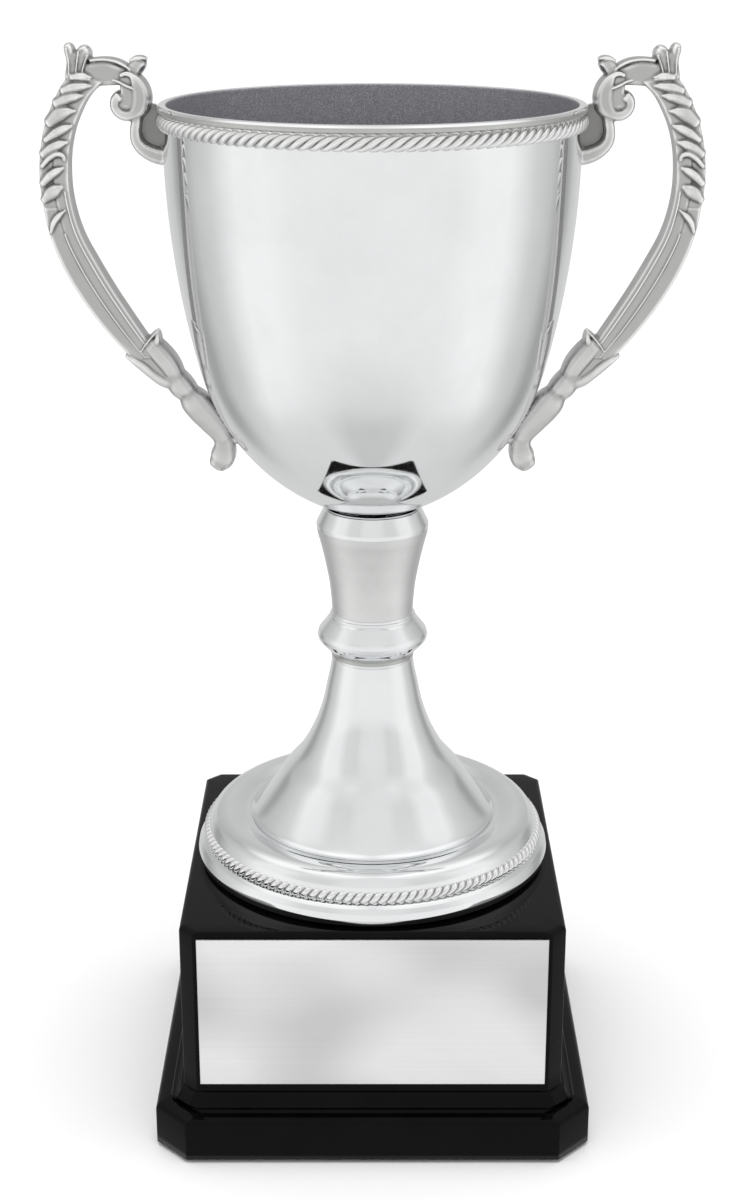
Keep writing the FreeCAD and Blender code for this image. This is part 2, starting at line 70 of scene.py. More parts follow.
# path through (x, y) or (x, y, radius) corners, with each given radius rounded off
def roundCorners(corners, steps=5):
    path = []
    for i, corner in enumerate(corners):
        here = Vector(corner[:2])
        if len(corner) == 2 or i in (0, len(corners) - 1):
            path.append(here)
            continue
        before = Vector(corners[i - 1][:2]) - here
        after = Vector(corners[i + 1][:2]) - here
        half = before.angle(after) / 2
        reach = min(corner[2] / math.tan(half), before.length * 0.49, after.length * 0.49)
        start = here + before.normalized() * reach
        end = here + after.normalized() * reach
        for k in range(steps + 1):
            u = k / steps
            path.append(start * (1 - u) ** 2 + here * 2 * u * (1 - u) + end * u ** 2)
    return path


# even samples of a smooth curve through points of any number of values
def smoothThrough(points, count):
    p = np.array(points, float)
    knots = np.concatenate([[0], np.cumsum(np.linalg.norm(np.diff(p[:, :2], axis=0), axis=1) ** 0.5)])
    slopes = np.gradient(p, knots, axis=0)
    out = []
    for u in np.linspace(0, knots[-1], count):
        i = min(int(np.searchsorted(knots, u, side="right")) - 1, len(p) - 2)
        span = knots[i + 1] - knots[i]
        f = (u - knots[i]) / span
        out.append(
            p[i] * (2 * f ** 3 - 3 * f ** 2 + 1) + slopes[i] * span * (f ** 3 - 2 * f ** 2 + f)
            + p[i + 1] * (3 * f ** 2 - 2 * f ** 3) + slopes[i + 1] * span * (f ** 3 - f ** 2)
        )
    return np.array(out)


# curve that goes down from start; each bend is (radius, angle from upright at its end)
def arcDown(start, startAngle, bends, steps=26):
    x, y = start
    path = [Vector(start)]
    angle = math.radians(startAngle)
    for radius, endDegrees in bends:
        turn = (math.radians(endDegrees) - angle) / steps
        for k in range(steps):
            middle = angle + turn * (k + 0.5)
            length = 2 * radius * math.sin(abs(turn) / 2)
            x -= math.sin(middle) * length
            y -= math.cos(middle) * length
            path.append(Vector((x, y)))
        angle = math.radians(endDegrees)
    return path


# closed section of (radius, height) in millimetres, turned about the upright axis
def turnedMesh(name, section, material, segments):
    count = len(section)
    area = sum(section[i - 1][0] * section[i][1] - section[i][0] * section[i - 1][1] for i in range(count))
    if area < 0:
        section = list(reversed(section))
    verts = []
    for k in range(segments):
        angle = fullTurn * k / segments
        for p in section:
            verts.append((p[0] * math.cos(angle) * mm, p[0] * math.sin(angle) * mm, p[1] * mm))
    faces = []
    for k in range(segments):
        a = k * count
        b = (k + 1) % segments * count
        for i in range(count):
            j = (i + 1) % count
            faces.append((a + i, b + i, b + j, a + j))
    return finishMesh(name, verts, faces, material)


# square outline with cut and slightly rounded corners
def octagonRing(half, cut, z, radius=0.5, steps=3):
    inner = half - cut
    corners = [(half, -inner), (half, inner), (inner, half), (-inner, half),
               (-half, inner), (-half, -inner), (-inner, -half), (inner, -half)]
    closed = [corners[-1]] + [(x, y, radius) for x, y in corners] + [corners[0]]
    return [(p[0] * mm, p[1] * mm, z * mm) for p in roundCorners(closed, steps)[1:-1]]


def loftRings(name, rings, material, capLow=True, capHigh=True):
    count = len(rings[0])
    verts = [v for ring in rings for v in ring]
    faces = []
    for k in range(len(rings) - 1):
        for i in range(count):
            j = (i + 1) % count
            faces.append((k * count + i, k * count + j, (k + 1) * count + j, (k + 1) * count + i))
    if capLow:
        faces.append(tuple(reversed(range(count))))
    if capHigh:
        faces.append(tuple(range(len(verts) - count, len(verts))))
    return finishMesh(name, verts, faces, material)


# gives a second finish to the faces of a turned piece between two heights in millimetres
def finishBetween(piece, material, low, high):
    piece.data.materials.append(material)
    for face in piece.data.polygons:
        if low * mm < face.center.z < high * mm:
            face.material_index = 1


def storeMask(piece, name, values):
    layer = piece.data.attributes.new(name, "FLOAT", "POINT")
    layer.data.foreach_set("value", np.asarray(values, dtype=np.float32))


# the points after each of the asked numbers of rounds of moving them towards their neighbours on the mesh
def evenedOut(mesh, points, stages, keep=0.4):
    ends = np.empty(len(mesh.edges) * 2, dtype=np.int64)
    mesh.edges.foreach_get("vertices", ends)
    ends = ends.reshape(-1, 2)
    here = np.concatenate([ends[:, 0], ends[:, 1]])
    there = np.concatenate([ends[:, 1], ends[:, 0]])
    degree = np.bincount(here, minlength=len(points)).clip(1)
    kept = []
    for done in range(1, max(stages) + 1):
        total = np.stack([
            np.bincount(here, weights=points[there, axis], minlength=len(points)) for axis in range(3)
        ], axis=1)
        points = points * keep + total / degree[:, None] * (1 - keep)
        if done in stages:
            kept.append(points)
    return kept


# positions or normals of a mesh's vertices, one row each
def meshValues(mesh, key):
    values = np.empty(len(mesh.vertices) * 3)
    mesh.vertices.foreach_get(key, values)
    return values.reshape(-1, 3)


# 0 on ridges, 0.85 in hollows and 0.5 on even ground, from fine and broad relief together; the castings take
# their painted shade and highlights from it
def hollowMask(mesh, fineRounds=10, broadRounds=46, fineDepth=0.17, broadDepth=0.75, ridgeGain=1.5,
               hollowGain=0.8, hollowMost=0.7):
    points = meshValues(mesh, "co")
    normals = meshValues(mesh, "normal")
    fine, broad = evenedOut(mesh, points, (fineRounds, broadRounds))
    relief = ((fine - points) * normals).sum(axis=1) / (fineDepth * mm)
    relief += ((broad - points) * normals).sum(axis=1) / (broadDepth * mm)
    relief = np.where(relief < 0, relief * ridgeGain, relief * hollowGain)
    return relief.clip(-1, hollowMost) * 0.5 + 0.5


# shader tools

def newMaterial(name, **sockets):
    material = bpy.data.materials.new(name)
    material.use_nodes = True
    shader = material.node_tree.nodes["Principled BSDF"]
    for key, value in sockets.items():
        shader.inputs[key.replace("_", " ")].default_value = value
    return material, material.node_tree, shader


# sets or links a node's inputs by their names, or by number as in i0
def fillInputs(tree, node, inputs):
    for key, value in inputs.items():
        byNumber = key[0] == "i" and key[1:].isdigit()
        socket = node.inputs[int(key[1:]) if byNumber else key.replace("_", " ")]
        if isinstance(value, bpy.types.NodeSocket):
            tree.links.new(value, socket)
        else:
            socket.default_value = value
    return node


def addNode(tree, kind, settings=None, **inputs):
    node = tree.nodes.new(kind)
    for key, value in (settings or {}).items():
        setattr(node, key, value)
    return fillInputs(tree, node, inputs)


def newGroup(name, inputs, outputs):
    group = bpy.data.node_groups.new(name, "ShaderNodeTree")
    for label, kind, value in inputs:
        socket = group.interface.new_socket(label, in_out="INPUT", socket_type=kind)
        socket.default_value = value
    for label, kind in outputs:
        group.interface.new_socket(label, in_out="OUTPUT", socket_type=kind)
    return group, group.nodes.new("NodeGroupInput"), group.nodes.new("NodeGroupOutput")


def useGroup(tree, group, **inputs):
    node = tree.nodes.new("ShaderNodeGroup")
    node.node_tree = group
    return fillInputs(tree, node, inputs)


def ramp(tree, value, stops):
    node = tree.nodes.new("ShaderNodeValToRGB")
    tree.links.new(value, node.inputs[0])
    elements = node.color_ramp.elements
    while len(elements) < len(stops):
        elements.new(0.5)
    for element, (at, colour) in zip(elements, stops):
        element.position = at
        element.color = (*colour, 1) if len(colour) == 3 else colour
    return node.outputs["Color"]


def grey(v):
    return (v, v, v)


def objectPlace(tree):
    return addNode(tree, "ShaderNodeTexCoord").outputs["Object"]


# object coordinates stretched by a different amount along each axis
def scaledPlace(tree, scale):
    return addNode(tree, "ShaderNodeMapping", Vector=objectPlace(tree), Scale=scale).outputs["Vector"]


def noise(tree, spot, scale, detail, roughness=0.5):
    node = addNode(tree, "ShaderNodeTexNoise", Vector=spot, Scale=scale, Detail=detail, Roughness=roughness)
    return node.outputs["Fac"]


def calculated(tree, operation, first, second=0.5):
    return addNode(tree, "ShaderNodeMath", {"operation": operation}, i0=first, i1=second).outputs[0]


# two colours laid over each other; a plain share, or one that changes over the surface
def mixed(tree, first, second, share=1.0, blend="MIX"):
    settings = {"data_type": "RGBA", "blend_type": blend}
    node = addNode(tree, "ShaderNodeMix", settings, i0=share, i6=first, i7=second)
    return node.outputs[2]


# shared effects

# cloudy polish marks and fine scratches, for any polished metal
def makeHandlingMarks():
    group, source, result = newGroup(
        "handlingMarks",
        [("Cloud Size", "NodeSocketFloat", 60.0), ("Scratch Size", "NodeSocketFloat", 900.0)],
        [("Clouds", "NodeSocketFloat"), ("Scratches", "NodeSocketFloat")])
    spot = objectPlace(group)
    clouds = noise(group, spot, source.outputs["Cloud Size"], 5.0, 0.6)
    slanted = addNode(group, "ShaderNodeMapping", Vector=spot, Rotation=(0.3, 0.5, 0.9),
                      Scale=(1.0, 0.05, 1.0))
    hairs = noise(group, slanted.outputs["Vector"], source.outputs["Scratch Size"], 2.0)
    group.links.new(clouds, result.inputs["Clouds"])
    group.links.new(hairs, result.inputs["Scratches"])
    return group


# faint rings left by spinning and buffing, running round the upright axis
def makeTurningLines():
    group, source, result = newGroup(
        "turningLines", [("Ring Pitch", "NodeSocketFloat", 1500.0)], [("Rings", "NodeSocketFloat")])
    parts = addNode(group, "ShaderNodeSeparateXYZ", Vector=objectPlace(group))
    flat = addNode(group, "ShaderNodeCombineXYZ", X=parts.outputs["X"], Y=parts.outputs["Y"])
    radius = addNode(group, "ShaderNodeVectorMath", {"operation": "LENGTH"}, i0=flat.outputs["Vector"])
    line = addNode(group, "ShaderNodeCombineXYZ", X=radius.outputs["Value"], Y=parts.outputs["Z"])
    rings = noise(group, line.outputs["Vector"], source.outputs["Ring Pitch"], 3.0, 0.7)
    group.links.new(rings, result.inputs["Rings"])
    return group


# grainy skin of a cast and satin-plated surface
def makeCastSkin():
    group, source, result = newGroup(
        "castSkin", [("Grain Size", "NodeSocketFloat", 2600.0)],
        [("Grain", "NodeSocketFloat"), ("Blotches", "NodeSocketFloat")])
    spot = objectPlace(group)
    group.links.new(noise(group, spot, source.outputs["Grain Size"], 3.0, 0.6), result.inputs["Grain"])
    group.links.new(noise(group, spot, 180.0, 4.0, 0.6), result.inputs["Blotches"])
    return group


handlingMarks = makeHandlingMarks()
turningLines = makeTurningLines()
castSkin = makeCastSkin()


# the value, which runs from start to end, mapped to low to high
def spread(tree, value, low, high, start=0.25, end=0.75):
    node = addNode(tree, "ShaderNodeMapRange", i0=value, i1=start, i2=end, i3=low, i4=high)
    return node.outputs["Result"]


# links colour, roughness and fine relief; distance is the relief's depth in metres
def coverWith(tree, shader, colour, roughness, height, strength, distance):
    tree.links.new(colour, shader.inputs["Base Color"])
    if roughness is not None:
        tree.links.new(roughness, shader.inputs["Roughness"])
    relief = addNode(tree, "ShaderNodeBump", Height=height, Strength=strength, Distance=distance)
    tree.links.new(relief.outputs["Normal"], shader.inputs["Normal"])


# finishes

polish = {"tint": (0.885, 0.895, 0.90), "dull": (0.84, 0.85, 0.855), "smooth": 0.035, "rough": 0.085,
          "ringDepth": 0.0000015}


def makePolishedNickel(name, look):
    material, tree, shader = newMaterial(name, Metallic=1.0)
    marks = useGroup(tree, handlingMarks)
    rings = useGroup(tree, turningLines)
    colour = ramp(tree, marks.outputs["Clouds"], [(0.3, look["dull"]), (0.6, look["tint"])])
    wear = calculated(tree, "MULTIPLY", marks.outputs["Clouds"], marks.outputs["Scratches"])
    roughness = spread(tree, wear, look["smooth"], look["rough"], 0.15, 0.4)
    coverWith(tree, shader, colour, roughness, rings.outputs["Rings"], 0.35, look["ringDepth"])
    return material


# the first look is satin whose darker tint is partly painted shade, for the band under the lip's bead and
# the knop's cove
shadedSatinBand = {"tint": (0.60, 0.605, 0.585), "dull": (0.54, 0.545, 0.525), "smooth": 0.24, "rough": 0.34}
satin = {"tint": (0.80, 0.80, 0.795), "dull": (0.74, 0.74, 0.735), "smooth": 0.32, "rough": 0.42}


def makeSatinNickel(name, look):
    material, tree, shader = newMaterial(name, Metallic=1.0)
    skin = useGroup(tree, castSkin)
    rings = useGroup(tree, turningLines, Ring_Pitch=2400.0)
    colour = ramp(tree, skin.outputs["Blotches"], [(0.3, look["dull"]), (0.7, look["tint"])])
    roughness = spread(tree, rings.outputs["Rings"], look["smooth"], look["rough"])
    coverWith(tree, shader, colour, roughness, rings.outputs["Rings"], 0.5, 0.000006)
    return material


# deep is the painted shade of hollows and bright the painted highlight of ridges, in this look and the
# rope's below
cast = {"tint": (0.53, 0.53, 0.52), "deep": (0.15, 0.145, 0.14), "bright": (0.99, 0.99, 0.98),
        "smooth": 0.22, "rough": 0.46}
ropeLook = {"tint": (0.84, 0.845, 0.835), "deep": (0.10, 0.10, 0.095), "bright": (0.97, 0.97, 0.97),
            "smooth": 0.10, "rough": 0.26}


# plated casting with painted shade in its hollows and painted highlights on its ridges
def makeCastMetal(name, look):
    material, tree, shader = newMaterial(name, Metallic=1.0)
    skin = useGroup(tree, castSkin)
    mask = addNode(tree, "ShaderNodeAttribute", {"attribute_name": "hollow"}).outputs["Fac"]
    # painted highlight on ridges, the plain tint on even ground, painted shade in hollows
    colour = ramp(tree, mask, [(0.16, look["bright"]), (0.44, look["tint"]), (0.56, look["tint"]),
                               (0.86, look["deep"])])
    shade = ramp(tree, skin.outputs["Blotches"], [(0.3, grey(0.93)), (0.7, grey(1.0))])
    dulled = calculated(tree, "ADD", skin.outputs["Blotches"], mask)
    roughness = spread(tree, dulled, look["smooth"], look["rough"], 0.6, 1.3)
    coverWith(tree, shader, mixed(tree, colour, shade, blend="MULTIPLY"), roughness, skin.outputs["Grain"],
              0.25, 0.00002)
    return material


lining = {"tint": (0.30, 0.295, 0.32), "spark": (0.62, 0.61, 0.65), "grain": 3600.0, "smooth": 0.42,
          "rough": 0.58}


# dark sand-blasted inside of the cup, with small bright specks
def makeCupLining(look):
    material, tree, shader = newMaterial("darkLining", Metallic=0.6)
    spot = objectPlace(tree)
    grain = noise(tree, spot, look["grain"], 2.0, 0.6)
    broad = noise(tree, spot, 400.0, 3.0, 0.6)
    colour = ramp(tree, grain, [(0.45, look["tint"]), (0.72, look["spark"])])
    shade = ramp(tree, broad, [(0.3, grey(0.92)), (0.7, grey(1.0))])
    roughness = spread(tree, grain, look["rough"], look["smooth"])
    coverWith(tree, shader, mixed(tree, colour, shade, blend="MULTIPLY"), roughness, grain, 0.5, 0.00005)
    return material


gloss = {"colour": (0.0012, 0.0010, 0.0010), "haze": (0.0024, 0.0020, 0.0019), "smooth": 0.05, "rough": 0.12}


def makeBlackGloss(look):
    material, tree, shader = newMaterial("blackGloss", Metallic=0.0, IOR=1.5, Specular_IOR_Level=0.09)
    marks = useGroup(tree, handlingMarks, Cloud_Size=90.0, Scratch_Size=1200.0)
    colour = ramp(tree, marks.outputs["Clouds"], [(0.35, look["colour"]), (0.65, look["haze"])])
    roughness = spread(tree, marks.outputs["Scratches"], look["smooth"], look["rough"])
    peel = noise(tree, objectPlace(tree), 420.0, 1.0)
    coverWith(tree, shader, colour, roughness, peel, 0.3, 0.000012)
    return material


plateLook = {"light": (0.99, 0.99, 0.99), "dark": (0.74, 0.74, 0.745), "smooth": 0.30, "rough": 0.48}


# sheet brushed from side to side, with broad soft bright and grey clouds of painted reflection
def makeBrushedPlate(look):
    material, tree, shader = newMaterial("brushedPlate", Metallic=1.0)
    grain = noise(tree, scaledPlace(tree, (12.0, 1.0, 2600.0)), 1.0, 6.0, 0.7)
    cloud = noise(tree, scaledPlace(tree, (1.0, 1.0, 1.4)), 22.0, 1.0)
    # painted reflection: broad bright and grey clouds in the plate's colour
    base = ramp(tree, cloud, [(0.36, look["dark"]), (0.62, look["light"])])
    streaks = ramp(tree, grain, [(0.3, grey(0.92)), (0.7, grey(1.0))])
    roughness = spread(tree, grain, look["smooth"], look["rough"])
    coverWith(tree, shader, mixed(tree, base, streaks, blend="MULTIPLY"), roughness, grain, 0.35, 0.00001)
    return material


def makeZincSteel():
    material, tree, shader = newMaterial("zincSteel", Metallic=1.0)
    skin = useGroup(tree, castSkin, Grain_Size=1400.0)
    colour = ramp(tree, skin.outputs["Blotches"], [(0.3, (0.52, 0.53, 0.54)), (0.7, (0.68, 0.69, 0.70))])
    roughness = spread(tree, skin.outputs["Grain"], 0.22, 0.42)
    coverWith(tree, shader, colour, roughness, skin.outputs["Grain"], 0.2, 0.00002)
    return material


def makeFelt():
    material, tree, shader = newMaterial("blackFelt", Roughness=0.95, Sheen_Weight=0.4, Sheen_Roughness=0.5)
    fibres = noise(tree, objectPlace(tree), 2200.0, 6.0, 0.75)
    colour = ramp(tree, fibres, [(0.35, (0.008, 0.008, 0.009)), (0.7, (0.04, 0.04, 0.042))])
    coverWith(tree, shader, colour, None, fibres, 0.8, 0.0002)
    return material


# plain rough stuff, such as board, cast iron or foam
def makeGrainy(name, low, high, roughness, size, depth):
    material, tree, shader = newMaterial(name, Roughness=roughness)
    grain = noise(tree, objectPlace(tree), size, 5.0, 0.7)
    colour = ramp(tree, grain, [(0.3, low), (0.7, high)])
    coverWith(tree, shader, colour, None, grain, 0.6, depth)
    return material


polishedNickel = makePolishedNickel("polishedNickel", polish)
satinNickel = makeSatinNickel("satinNickel", satin)
castRope = makeCastMetal("castRope", ropeLook)
shadedSatinLip = makeSatinNickel("shadedSatinLip", shadedSatinBand)
castPewter = makeCastMetal("castPewter", cast)
darkLining = makeCupLining(lining)
blackGloss = makeBlackGloss(gloss)
brushedPlate = makeBrushedPlate(plateLook)
zincSteel = makeZincSteel()
blackFelt = makeFelt()
hardboard = makeGrainy("hardboard", (0.16, 0.10, 0.06), (0.30, 0.20, 0.12), 0.75, 500.0, 0.00008)
ballastIron = makeGrainy("ballastIron", (0.05, 0.05, 0.05), (0.13, 0.125, 0.12), 0.7, 300.0, 0.0003)
foamPad = makeGrainy("foamPad", (0.70, 0.70, 0.68), (0.82, 0.82, 0.80), 0.8, 1500.0, 0.00005)
print("finishes made")


# lowest height, highest height and widest radius of a node, in millimetres
def span(node):
    low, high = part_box(node)
    return low[2] / mm, high[2] / mm, (high[0] - low[0]) / 2 / mm


# bowl

bowlShape = {
    "wall": 1.2,
    "floorRadius": 11.6,
    "seatInset": 0.8,          # rope seat inside the lip's widest radius
    "bends": [(212.0, 15.2), (51.0, 68.3)],
    "mouthInset": 1.8,
    "lipReach": 0.6,           # how far the bead stands out past the rope seat's shoulder
    "lipHeight": 1.9,          # rolled bead above the rope
    "lipShine": 0.55,          # how far down from the top the bead is polished, and satin below, darker in part as painted shade
    "liningDrop": 0.3,         # where the dark lining starts under the lip
    "segments": 288,
}


# rolled lip from the mouth over the bead to the rope's seat, as (radius, height)
def lipPath(shape, top, mouth, widest, seat, ropeLow):
    bead = shape["lipHeight"]
    return roundCorners([
        (mouth, ropeLow + 1), (mouth, top - 0.5, 0.3), (mouth + 0.15, top - 0.12, 0.15),
        (mouth + 0.5, top, 0.4), (widest - 0.8, top - 0.05, 0.7), (widest, top - bead * 0.45, 0.8),
        (widest - 0.15, top - bead * 0.85, 0.3), (seat + 0.1, top - bead, 0.2), (seat, top - bead - 0.4),
        (seat, ropeLow)], 4)


def makeBowl(shape):
    floor, top, nodeWidest = span("bowl")
    seat = nodeWidest - shape["seatInset"]
    mouth = nodeWidest - shape["mouthInset"]
    wall = shape["wall"]
    ropeLow = span("rim_rope_band")[0]
    side = arcDown((seat, ropeLow), -0.5, shape["bends"])
    drift = floor + 0.1 - side[-1].y
    length = side[0].y - side[-1].y
    side = [Vector((p.x, p.y + drift * (side[0].y - p.y) / length)) for p in side]
    inside = []
    for i, p in enumerate(side):
        along = side[min(i + 1, len(side) - 1)] - side[max(i - 1, 0)]
        inside.append(p + Vector((along.y, -along.x)).normalized() * wall)
    section = [Vector((rodBore, floor + wall)), Vector((shape["floorRadius"] - 1.2, floor + wall))]
    section += list(reversed(inside))[1:-1]
    section += lipPath(shape, top, mouth, nodeWidest + shape["lipReach"], seat, ropeLow)
    section += side[1:] + [Vector((rodBore, floor))]
    bowl = turnedMesh("bowlCup", section, polishedNickel, shape["segments"])
    bowl.data.materials.append(darkLining)
    bowl.data.materials.append(shadedSatinLip)
    liningTop = (top - shape["liningDrop"]) * mm
    satinLow = (top - shape["lipHeight"] - 0.3) * mm
    satinTop = (top - shape["lipShine"]) * mm
    floorReach = 30 * mm
    for face in bowl.data.polygons:
        out = Vector((face.center.x, face.center.y, 0))
        facesIn = face.normal.dot(out) < 0 or face.normal.z > 0.9 and out.length < floorReach
        if facesIn and face.center.z < liningTop and out.length < (mouth + 0.25) * mm:
            face.material_index = 1
        # the band under the bead takes the darker satin, partly painted shade
        elif satinLow < face.center.z < satinTop and out.length > (mouth + 1.6) * mm:
            face.material_index = 2
    place(bowl, "polished_nickel", "bowl")
    return bowl


bowl = makeBowl(bowlShape)
print("bowl made")


# rope borders

# around and tall count the mesh's steps; wrap is how far up and down the oval core, in degrees, the lobes
# reach, from a middle that tilt lifts
rimRope = {"lobes": 118, "lean": -2.1, "relief": 0.95, "around": 14, "tall": 30, "wrap": 93, "tilt": 0}
footRope = {"lobes": 124, "lean": -1.6, "relief": 1.0, "around": 14, "tall": 30, "wrap": 130, "tilt": 35}


# ring of slanted rope lobes over an oval core with half sizes out and up
def ropeBand(name, centreRadius, centreHeight, out, up, shape):
    around = shape["lobes"] * shape["around"]
    tall = shape["tall"]
    wrap = math.radians(shape["wrap"])
    tilt = math.radians(shape["tilt"])
    verts = []
    hollows = []
    for k in range(around):
        angle = fullTurn * k / around
        for i in range(tall + 1):
            share = i / tall - 0.5
            lift = wrap * 2 * share + tilt
            phase = (k / shape["around"] + shape["lean"] * share) % 1.0
            lobe = math.sqrt(max(0.0, 1 - abs(2 * phase - 1) ** 2.2))
            dip = shape["relief"] * (1 - lobe)
            r = centreRadius + (out - dip) * math.cos(lift)
            z = centreHeight + (up - dip) * math.sin(lift)
            verts.append((r * math.cos(angle) * mm, r * math.sin(angle) * mm, z * mm))
            # painted highlight towards each lobe's crown and painted shade in the crevices between lobes
            hollows.append(0.20 + 0.8 * (1 - lobe) ** 0.8)
    faces = []
    for k in range(around):
        a = k * (tall + 1)
        b = (k + 1) % around * (tall + 1)
        for i in range(tall):
            faces.append((a + i, b + i, b + i + 1, a + i + 1))
        faces.append((a + tall, b + tall, b, a))
    band = finishMesh(name, verts, faces, castRope)
    storeMask(band, "hollow", hollows)
    return band


def makeRopes():
    low, high, widest = span("rim_rope_band")
    seat = span("bowl")[2] - bowlShape["seatInset"]
    sunk = 0.2  # the core's middle lies inside the seat
    rim = ropeBand("rimRopeBorder", seat - sunk, (low + high) / 2, widest - seat + sunk - 0.05,
                   (high - low) / 2, rimRope)
    place(rim, "cast_rope", "rim_rope_band")
    low, high, widest = span("foot_rope_band")
    half = (high - low) / 2
    foot = ropeBand("footRopeBorder", widest - half, (low + high) / 2, half, half, footRope)
    place(foot, "cast_rope", "foot_rope_band")


makeRopes()
print("rope borders made")


# stem and foot

turnedSegments = 192


def makeCollar():
    low, high, widest = span("bowl_collar")
    section = roundCorners([
        (rodBore, low + 0.05), (widest - 0.3, low + 0.05, 0.15), (widest, low + 0.45, 0.15),
        (widest - 0.15, high - 0.1, 0.1), (rodBore, high - 0.02)])
    collar = turnedMesh("bowlCollarDisc", section, polishedNickel, turnedSegments)
    place(collar, "polished_nickel", "bowl_collar")


neckShape = {
    "ring": 4.2,               # height of the polished ring and cone at the top
    "coneTop": 12.0,
    # waisted sleeve, as (radius, height above its foot)
    "waist": [(10.1, 0.0), (10.18, 1.4), (10.32, 3.5), (10.52, 5.6), (10.77, 7.8), (11.14, 9.9),
              (11.56, 12.0), (11.98, 14.1), (12.47, 16.2), (12.99, 18.3), (13.57, 20.4)],
}


def makeNeck(shape):
    low, high, widest = span("stem_neck")
    sleeve = smoothThrough([(r, low + up) for r, up in shape["waist"]], 40)
    footRadius = shape["waist"][0][0]
    endRadius, endHeight = shape["waist"][-1]
    ringLow = high - shape["ring"]
    cone = shape["coneTop"]
    section = [Vector((rodBore, low)), Vector((footRadius, low))] + [Vector(p) for p in sleeve]
    section += roundCorners([
        (endRadius, low + endHeight), (widest - 0.02, ringLow - 0.6, 0.4), (widest, ringLow + 0.35, 0.25),
        (cone + 0.1, high - 0.15, 0.1), (cone, high, 0.05), (rodBore, high)])[1:]
    neck = turnedMesh("neckSleeve", section, satinNickel, turnedSegments)
    finishBetween(neck, polishedNickel, ringLow - 0.2, high + 1)
    place(neck, "satin_nickel", "stem_neck")


# edges of the knop as (radius, height above its foot, rounding); the ring's widest three follow its node
knopShape = {
    "lowSteps": [(10.3, 0.0, 0.1), (10.35, 0.5, 0.2), (10.5, 1.5, 0.3), (11.5, 2.7, 0.6), (12.7, 3.9, 0.4)],
    "highSteps": [(11.15, 10.3, 0.4), (10.65, 10.75, 0.15), (10.75, 11.1, 0.2), (10.7, 11.5, 0.2),
                  (10.35, 11.65, 0.1)],
    "shadedSatinCove": (0.4, 2.3),
}


def makeKnop(shape):
    low, high, widest = span("stem_knop")
    edges = [(rodBore, low)]
    edges += [(r, low + up, rounding) for r, up, rounding in shape["lowSteps"]]
    edges += [(widest - 0.25, low + 5.0, 0.5), (widest, low + 6.1, 0.6), (widest - 0.3, low + 7.2, 0.6)]
    edges += [(r, low + up, rounding) for r, up, rounding in shape["highSteps"]]
    edges += [(10.3, high - 0.2, 0.2), (10.15, high, 0.1), (rodBore, high)]
    knop = turnedMesh("knopRing", roundCorners(edges, 5), polishedNickel, turnedSegments)
    # the cove takes the darker satin, partly painted shade
    coveLow, coveHigh = shape["shadedSatinCove"]
    finishBetween(knop, shadedSatinLip, low + coveLow, low + coveHigh)
    place(knop, "polished_nickel", "stem_knop")


trumpetShape = {
    "curve": [(31.5, 0.35), (30.2, 1.6), (27.8, 4.6), (25.2, 8.2), (22.5, 12.1), (18.7, 16.6), (16.1, 21.0),
              (14.1, 25.5), (12.5, 30.6), (11.5, 35.4), (10.75, 38.8), (10.4, 40.9), (10.25, 42.35)],
    "wall": 1.2,
    "segments": 240,
}


def makeTrumpet(shape):
    low, high, widest = span("foot_trumpet")
    curve = [Vector((r, low + up)) for r, up in smoothThrough(shape["curve"], 70)]
    inner = [Vector((p.x - shape["wall"], p.y)) for p in curve[2:-6]]
    section = [Vector((widest - 1.6, low)), Vector((widest - 0.05, low))]
    edge = [(widest, low), (widest, low + 0.45, 0.2), (curve[1].x, curve[1].y + 0.1)]
    section += roundCorners(edge, 3)[1:]
    section += curve[2:] + [Vector((rodBore, high)), Vector((rodBore, high - 2)), Vector((9.0, high - 3))]
    section += list(reversed(inner))
    trumpet = turnedMesh("trumpetShell", section, polishedNickel, shape["segments"])
    place(trumpet, "polished_nickel", "foot_trumpet")


dishShape = {
    # dome and trough, as (radius, height above the ledge that carries the rope)
    "dome": [(42.2, 0.1), (42.4, 1.6), (42.3, 3.4), (41.6, 5.1), (40.3, 6.4), (38.5, 7.0), (36.4, 6.9),
             (34.4, 6.4), (32.7, 5.9), (31.2, 5.9), (29.6, 6.0)],
    "wall": 1.2,
    "segments": 240,
}


def makeDish(shape):
    low = span("foot_dish")[0]
    widest = span("foot_dish")[2]
    ledge = span("foot_rope_band")[0]
    dome = smoothThrough([(r, ledge + up) for r, up in shape["dome"]], 70)
    rim = roundCorners([
        (41.8, low), (44.0, low, 0.5), (widest - 0.3, low + 0.9, 0.8), (widest, low + 2.4, 1.2),
        (widest - 0.3, low + 3.9, 1.2), (widest - 1.0, low + 4.9, 0.9), (widest - 1.6, low + 5.4, 0.3),
        (43.5, ledge, 0.2), (42.25, ledge, 0.1), (42.2, ledge + 0.1)], 5)
    under = [Vector((r, up - shape["wall"])) for r, up in reversed(dome)]
    section = rim + [Vector(p) for p in dome] + under
    dish = turnedMesh("dishFoot", section, polishedNickel, shape["segments"])
    place(dish, "polished_nickel", "foot_dish")


makeCollar()
makeNeck(neckShape)
makeKnop(knopShape)
makeTrumpet(trumpetShape)
makeDish(dishShape)
print("stem and foot made")


# handles

handleShape = {
    "voxel": 0.17,
    "soften": 3,
    "depthLimit": 4.95,        # half the greatest depth, front to back
    "clearance": 0.02,         # between the casting and the cup
    "leafDepths": (7.8, 9.5, 9.2, 8.2),
    "leafFullness": 1.5,
    "recessDepth": 1.7,        # faces this near the middle plane are the recessed webs, which get painted shade
    # how dark the painted shade on the recessed webs is
    "recessShade": 0.74,
    "calyxTop": 190.0,         # the leaf cup below this is softer
    "calyxFade": 3.0,
    "calyxSoften": 14,
    "shadeEaseTop": 197.0,        # below this the casting's painted shade and highlights are softened and it is painted brighter
    "shadeEaseFade": 5.0,
    "shadeEaseEven": 0.45,
    "shadeEaseShift": 0.10,
}

